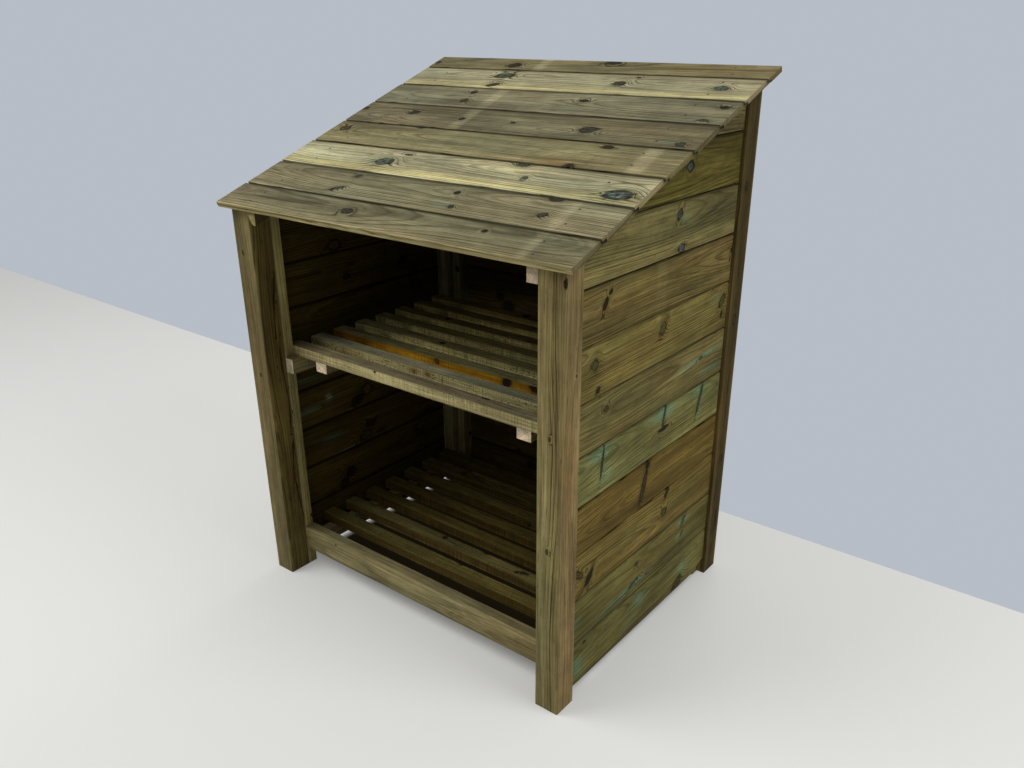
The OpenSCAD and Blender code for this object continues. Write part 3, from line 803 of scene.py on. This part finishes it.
# Roof boards: eight lengths of shiplap laid across the rafters from the front edge up, each
# lapping the one below and nailed twice at each rafter. The front and top boards are ripped narrower.
honey, yellow = shade(122, 115, 84), shade(178, 165, 112)
bleach, soot, lichen = shade(176, 166, 132), shade(66, 58, 42), shade(112, 134, 112)
ochre = shade(132, 104, 62)
roof_looks = [
    (shade(111, 105, 79), [(387, 50, 15, 10, 8, 0.75), (747, 62, 6, 5, 0, 0.6)],
     [(176, 55, 110, 5, 0, soot, 0.4), (690, 13, 26, 9, 0, soot, 0.3),
      # Board 1's ripped front edge is painted light from its top arris to its underside: a painted highlight that
      # makes up for the light it misses.
      (491, 0, 3000, 3, 0, shade(166, 150, 104), 0.75), (491, 200, 3000, 3, 0, shade(198, 182, 128), 0.95),
      (868, 50, 12, 90, 0, bleach, 0.22, 6), (60, 60, 80, 40, 0, shade(116, 104, 84), 0.4)]),
    (shade(118, 112, 86),
     [(291, 87, 9, 7, 20, 0.85), (589, 77, 8, 6, 0, 0.6), (282, 31, 13, 7, 25, 0.9), (614, 26, 7, 6, 0, 0.75),
      (816, 101, 14, 7, 0, 0.75), (824, 44, 10, 8, 30, 0.85)],
     [(262, 24, 20, 8, 25, soot, 0.5), (586, 27, 30, 7, 0, lichen, 0.55), (806, 34, 18, 8, 30, soot, 0.4),
      (867, 55, 12, 99, 0, bleach, 0.3, 6), (150, 75, 90, 12, 0, shade(112, 100, 78), 0.4)]),
    (shade(148, 142, 112),
     [(303, 48, 26, 15, 8, 0.95), (345, 88, 12, 4, 0, 0.9), (659, 101, 16, 8, 0, 0.85), (697, 51, 7, 6, 0, 0.95),
      (925, 32, 31, 17, 8, 1.0)],
     [(491, 12, 3000, 15, 0, yellow, 0.6), (268, 46, 26, 10, 0, lichen, 0.45), (662, 76, 16, 14, 0, yellow, 0.4),
      (370, 88, 40, 4, 0, lichen, 0.4), (940, 90, 40, 6, 0, lichen, 0.25)]),
    (shade(117, 110, 80),
     [(44, 67, 17, 12, 0, 0.36, 0.9), (271, 104, 9, 5, 0, 0.6), (799, 92, 13, 7, 0, 0.55), (761, 6, 9, 7, 0, 0.65)],
     [(722, 12, 40, 14, 0, ochre, 0.5), (690, 44, 26, 10, 0, yellow, 0.25), (906, 55, 19, 99, 0, bleach, 0.4, 6),
      (400, 6, 300, 10, 0, ochre, 0.2)]),
    (shade(100, 93, 70),
     [(184, 64, 13, 9, 10, 0.7), (350, 51, 8, 7, 0, 0.55), (502, 53, 6, 5, 0, 0.55), (708, 47, 22, 12, 10, 0.78),
      (6, 68, 13, 8, 0, 0.4), (943, 18, 10, 8, 0, 0.9)],
     [(358, 55, 17, 99, 0, bleach, 0.3, 6), (610, 22, 60, 6, 0, soot, 0.25), (915, 20, 22, 7, 0, lichen, 0.4),
      (90, 50, 120, 60, 0, shade(104, 94, 74), 0.35)]),
    (shade(114, 109, 86),
     [(275, 80, 10, 7, 0, 0.6), (611, 69, 13, 7, 0, 0.6), (282, 34, 10, 9, -30, 0.4), (936, 13, 9, 6, 0, 0.9),
      (953, 76, 11, 7, 0, 0.6)],
     [(246, 30, 44, 14, 0, soot, 0.35), (358, 55, 17, 99, 0, bleach, 0.35, 6), (590, 30, 26, 10, 0, lichen, 0.2)]),
    (shade(143, 137, 109),
     [(296, 73, 26, 14, 5, 0.9), (645, 56, 16, 12, 0, 0.8), (299, 17, 17, 9, 20, 0.5), (901, 54, 16, 11, 0, 1.0),
      (677, 91, 7, 4, 0, 0.55)],
     [(491, 10, 3000, 15, 0, yellow, 0.55), (870, 54, 26, 7, 0, lichen, 0.4), (262, 92, 16, 14, 0, bleach, 0.3)]),
    (shade(110, 102, 73), [(278, 25, 19, 14, 10, 0.5), (561, 57, 21, 10, 0, 0.5), (12, 29, 9, 7, 0, 0.5)],
     [(364, 30, 16, 80, 0, bleach, 0.3, 6), (860, 30, 130, 14, 0, ochre, 0.25), (256, 32, 44, 14, 0, soot, 0.4),
      (540, 50, 46, 12, 0, soot, 0.4), (700, 20, 90, 12, 0, honey, 0.5), (110, 44, 90, 14, 0, soot, 0.25)]),
]
roof_wide = roof_high[0] - roof_low[0]
roof_run = (corners("roof_board_8")[1][2] - roof_z) / np.sin(slope)
first, last = 96 * mm, 66 * mm
ripped, top_ripped = 15 * mm, 45 * mm
trims = [(0, 0), (1.6, 0.8), (0, 2), (2.2, 0.4), (1, 0), (0, 1.4), (1.8, 1), (0.6, 0)]
roof_cover = (roof_run - first - last) / 6
for k, (base, knots, marks) in enumerate(roof_looks):
    node = "roof_board_%d" % (k + 1)
    start = 0 if k == 0 else first + (k - 1) * roof_cover
    off = ripped if k == 0 else 0
    full = first + ripped if k == 0 else last + top_ripped if k == 7 else roof_cover
    u = board_stations(off, last if k == 7 else full + lap, 6 * mm, full)
    trim = np.array(trims[k]) * mm
    along = trim[0] + stations(roof_wide - trim.sum(), 9 * mm)[:, None]
    s, u, v, c, painted_shade = shiplap(along, np.repeat(u[None], len(along), 0), full, None, 0.7, 9 * mm, 0.95)
    u, c = u - off, c - off
    heart = board_heart(40 + k, (30, 80), (18, 50), (4.2, 5.8))
    corner = np.array([roof_low[0], roof_y, roof_z]) + start * up_slope - thick * off_roof
    place = (corner, (1, 0, 0), up_slope, off_roof)
    # The lowest few millimetres of each board's face, its lip, are painted 1.4 times lighter: a painted highlight.
    marks = marks + [(491, 2.5, 3000, 3, 0, base * 1.4, 0.6)]
    ends = base * [0.98, 0.88, 0.78]
    timber = stick(s, u, v, c, place, heart, base, 90 + k, through(knots), marks, ends, True, painted_shade, bold=1.15)
    build(node + "_timber", [timber], planed_pine, "roof_boards", node)

# Nails: small steel wire nails with flat heads driven just flush, two through each roof board
# at each rafter and two through each end of a side or back board, dulled by the treatment.
nail_steel = bpy.data.materials.new("nail_steel")
nail_steel.use_nodes = True
tree = nail_steel.node_tree
shader = tree.nodes["Principled BSDF"]
where = add(tree, "ShaderNodeTexCoord").outputs["Object"]
pits = add(tree, "ShaderNodeTexNoise", {"Scale": 900.0, "Detail": 2.0, "Vector": where}).outputs[0]
rusty = shades(tree, pits, (0.006, 0.005, 0.003, 1), (0.03, 0.022, 0.014, 1))
tree.links.new(rusty, shader.inputs["Base Color"])
shader.inputs["Roughness"].default_value = 0.75
shader.inputs["Metallic"].default_value = 0.15


def nail_heads(name, centres, out, radius):
    """Domed discs: height above the wood = 0.35 mm * (1 - (r / radius)^2), on rings and spokes about each centre,
    closed by a flat underside just below the surface."""
    centres, out = np.asarray(centres, float), np.asarray(out, float)
    side = np.cross(out, [0.3, 0.5, 0.8])
    side = side / np.linalg.norm(side)
    other = np.cross(out, side)
    n = 10
    spokes = np.arange(n) * 2 * np.pi / n
    ring = np.cos(spokes)[:, None] * side + np.sin(spokes)[:, None] * other
    levels = [(1.0, -0.3 * mm), (1.0, 0.05 * mm), (0.6, 0.28 * mm)]
    shells = [r * radius * ring + h * out for r, h in levels]
    one = np.concatenate(shells + [[0.35 * mm * out], [-0.3 * mm * out]])
    ids = np.arange(3 * n).reshape(3, n)
    turned = np.roll(ids, -1, 1)
    quads = np.stack([ids[:-1], turned[:-1], turned[1:], ids[1:]], 2).reshape(-1, 4)
    tops = np.stack([ids[2], turned[2], np.full(n, 3 * n)], 1)
    feet = np.stack([turned[0], ids[0], np.full(n, 3 * n + 1)], 1)
    points = (centres[:, None] + one[None]).reshape(-1, 3)
    shift = len(one) * np.arange(len(centres))[:, None, None]
    faces = [f for part in (quads, tops, feet) for f in (part[None] + shift).reshape(-1, part.shape[1]).tolist()]
    mesh = bpy.data.meshes.new(name)
    mesh.from_pydata(points.tolist(), [], faces)
    mesh.materials.append(nail_steel)
    mesh.update()
    piece = link(name, mesh)
    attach(piece, "root")
    return piece


rafter_x = 0.3945
nail_in, nail_ups = 12 * mm, (30 * mm, 82 * mm)
rng = np.random.default_rng(5)
spots = []
for k in range(8):
    start = 0 if k == 0 else first + (k - 1) * roof_cover
    wide_k = first if k == 0 else last if k == 7 else roof_cover
    for x in (-rafter_x, rafter_x):
        for share in (0.26, 0.72):
            along = np.array([x, 0, 0]) + rng.normal(0, 3 * mm, 3) * [1, 0, 0]
            spots.append(along + [0, roof_y, roof_z] + (start + share * wide_k + rng.normal(0, 4 * mm)) * up_slope)
nail_heads("roof_nails", spots, off_roof, 2.8 * mm)
for side, name in ((1, "right"), (-1, "left")):
    spots = []
    for k in range(11):
        low, high = corners("%s_board_%02d" % (name, k + 1))
        face = high[0] if side > 0 else low[0]
        for y in (low[1] + nail_in, high[1] - nail_in):
            for up in nail_ups:
                if low[2] + up < under_roof(y) - 20 * mm:
                    spots.append([face, y + rng.normal(0, 2 * mm), low[2] + up + rng.normal(0, 3 * mm)])
    nail_heads(name + "_board_nails", spots, (side, 0, 0), 2.1 * mm)

low, high = corners("back_boards")
spots = [[x + rng.normal(0, 2 * mm), high[1], low[2] + k * cover + up + rng.normal(0, 3 * mm)]
         for k in range(11) for x in (low[0] + nail_in, high[0] - nail_in) for up in nail_ups
         if k < 10 or up < 50 * mm]
nail_heads("back_board_nails", spots, (0, 1, 0), 2.1 * mm)

# Stage: a plain pale floor with a near-black shadow painted into its colour under the store and a glow that
# only the camera sees lifting its shadows, soft light from all round, three lamps, and a camera at the front right.
floor = bpy.data.meshes.new("floor")
floor_z, floor_back = -0.5 * mm, 0.63
floor.from_pydata([(-9, -9, floor_z), (9, -9, floor_z), (9, floor_back, floor_z), (-9, floor_back, floor_z)],
                  [], [(0, 1, 2, 3)])
pale = bpy.data.materials.new("pale_floor_with_painted_shadow")
pale.use_nodes = True
tree = pale.node_tree


def seen_directly(tree):
    """1 for rays from the camera, also by way of a mirror or a pane, and 0 for light that falls on things."""
    path = add(tree, "ShaderNodeLightPath").outputs
    shown = maths(tree, "MAXIMUM", path["Is Camera Ray"], path["Is Glossy Ray"])
    return maths(tree, "MAXIMUM", shown, path["Is Transmission Ray"])


# The floor's colour is painted near-black under the store, out to a little behind its back: a painted shadow, soft
# at its edges.
x, y = add(tree, "ShaderNodeSeparateXYZ", {0: add(tree, "ShaderNodeTexCoord").outputs["Object"]}).outputs[:2]
far_x = maths(tree, "ABSOLUTE", x)
slant = maths(tree, "SUBTRACT", maths(tree, "ADD", far_x, y), 0.36)
past_x = maths(tree, "SUBTRACT", maths(tree, "MAXIMUM", far_x, slant), 0.44)
off_y = maths(tree, "SUBTRACT", y, 0.09)
past_y = maths(tree, "SUBTRACT", maths(tree, "ABSOLUTE", off_y), 0.33)
outside_painted_shadow = maths(tree, "MAXIMUM", ramped(tree, past_x, -0.02, 0.012), ramped(tree, past_y, -0.04, 0.05))
feeds = {0: outside_painted_shadow, 6: (0.02, 0.015, 0.007, 1), 7: (0.72, 0.72, 0.7, 1)}
ground = add(tree, "ShaderNodeMix", feeds, data_type="RGBA").outputs[2]
lit = tree.nodes["Principled BSDF"]
tree.links.new(ground, lit.inputs["Base Color"])
lit.inputs["Roughness"].default_value = 0.9
lit.inputs["Specular IOR Level"].default_value = 0.0
# A glow that only the camera sees gives 30% of the floor's look and lifts its shadows: painted light.
glow = add(tree, "ShaderNodeEmission", {0: ground, 1: 0.95}).outputs[0]
share = maths(tree, "MULTIPLY", seen_directly(tree), 0.3)
either = add(tree, "ShaderNodeMixShader", {0: share, 1: lit.outputs[0], 2: glow}).outputs[0]
tree.links.new(either, tree.nodes["Material Output"].inputs[0])
floor.materials.append(pale)
floor_piece = link("floor", floor)

world = bpy.data.worlds.new("soft_light")
bpy.context.scene.world = world
world.use_nodes = True
tree = world.node_tree
tree.nodes.clear()
direction = add(tree, "ShaderNodeTexCoord").outputs["Generated"]
height = add(tree, "ShaderNodeSeparateXYZ", {0: direction}).outputs[2]
sky = add(tree, "ShaderNodeMapRange", {0: height, 1: 0.05, 2: 0.8, 3: 0.1, 4: 0.62}).outputs[0]
ambient = add(tree, "ShaderNodeBackground", {0: (1.0, 1.0, 1.0, 1), 1: sky}).outputs[0]
seen = add(tree, "ShaderNodeBackground", {0: (0.47, 0.51, 0.565, 1), 1: 1.0}).outputs[0]
either = add(tree, "ShaderNodeMixShader", {0: seen_directly(tree), 1: ambient, 2: seen}).outputs[0]
add(tree, "ShaderNodeOutputWorld", {0: either})

for name, size, energy, place, aim in (("front_lamp", 2.2, 70, (-1.5, -1.7, 3.3), (0, 0, 0.6)),
                                       ("side_lamp", 2.0, 66, (2.9, 0.2, 3.2), (0.3, 0, 0.6)),
                                       ("back_lamp", 2.0, 34, (-0.6, 3.4, 1.5), (0, 0.3, 0.6))):
    lamp = bpy.data.lights.new(name, "AREA")
    lamp.shape = "DISK"
    lamp.size = size
    lamp.energy = energy
    turn = (Vector(aim) - Vector(place)).to_track_quat("-Z", "Y").to_matrix().to_4x4()
    link(name, lamp).matrix_world = Matrix.Translation(place) @ turn

camera = bpy.data.cameras.new("camera")
camera.sensor_width = 36
camera.lens = 30.840
camera.shift_x = -0.012762
camera.shift_y = 0.030687
camera.clip_start = 0.05
camera_piece = link("camera", camera)
camera_piece.matrix_world = Matrix((
    (0.791002857, -0.24868224, 0.55899161, 1.294835),
    (0.611812014, 0.32042086, -0.72319882, -1.555128),
    (0.000734129, 0.91405012, 0.4056006, 1.337985),
    (0, 0, 0, 1)))
bpy.context.scene.camera = camera_piece
bpy.context.scene.view_settings.view_transform = "Standard"
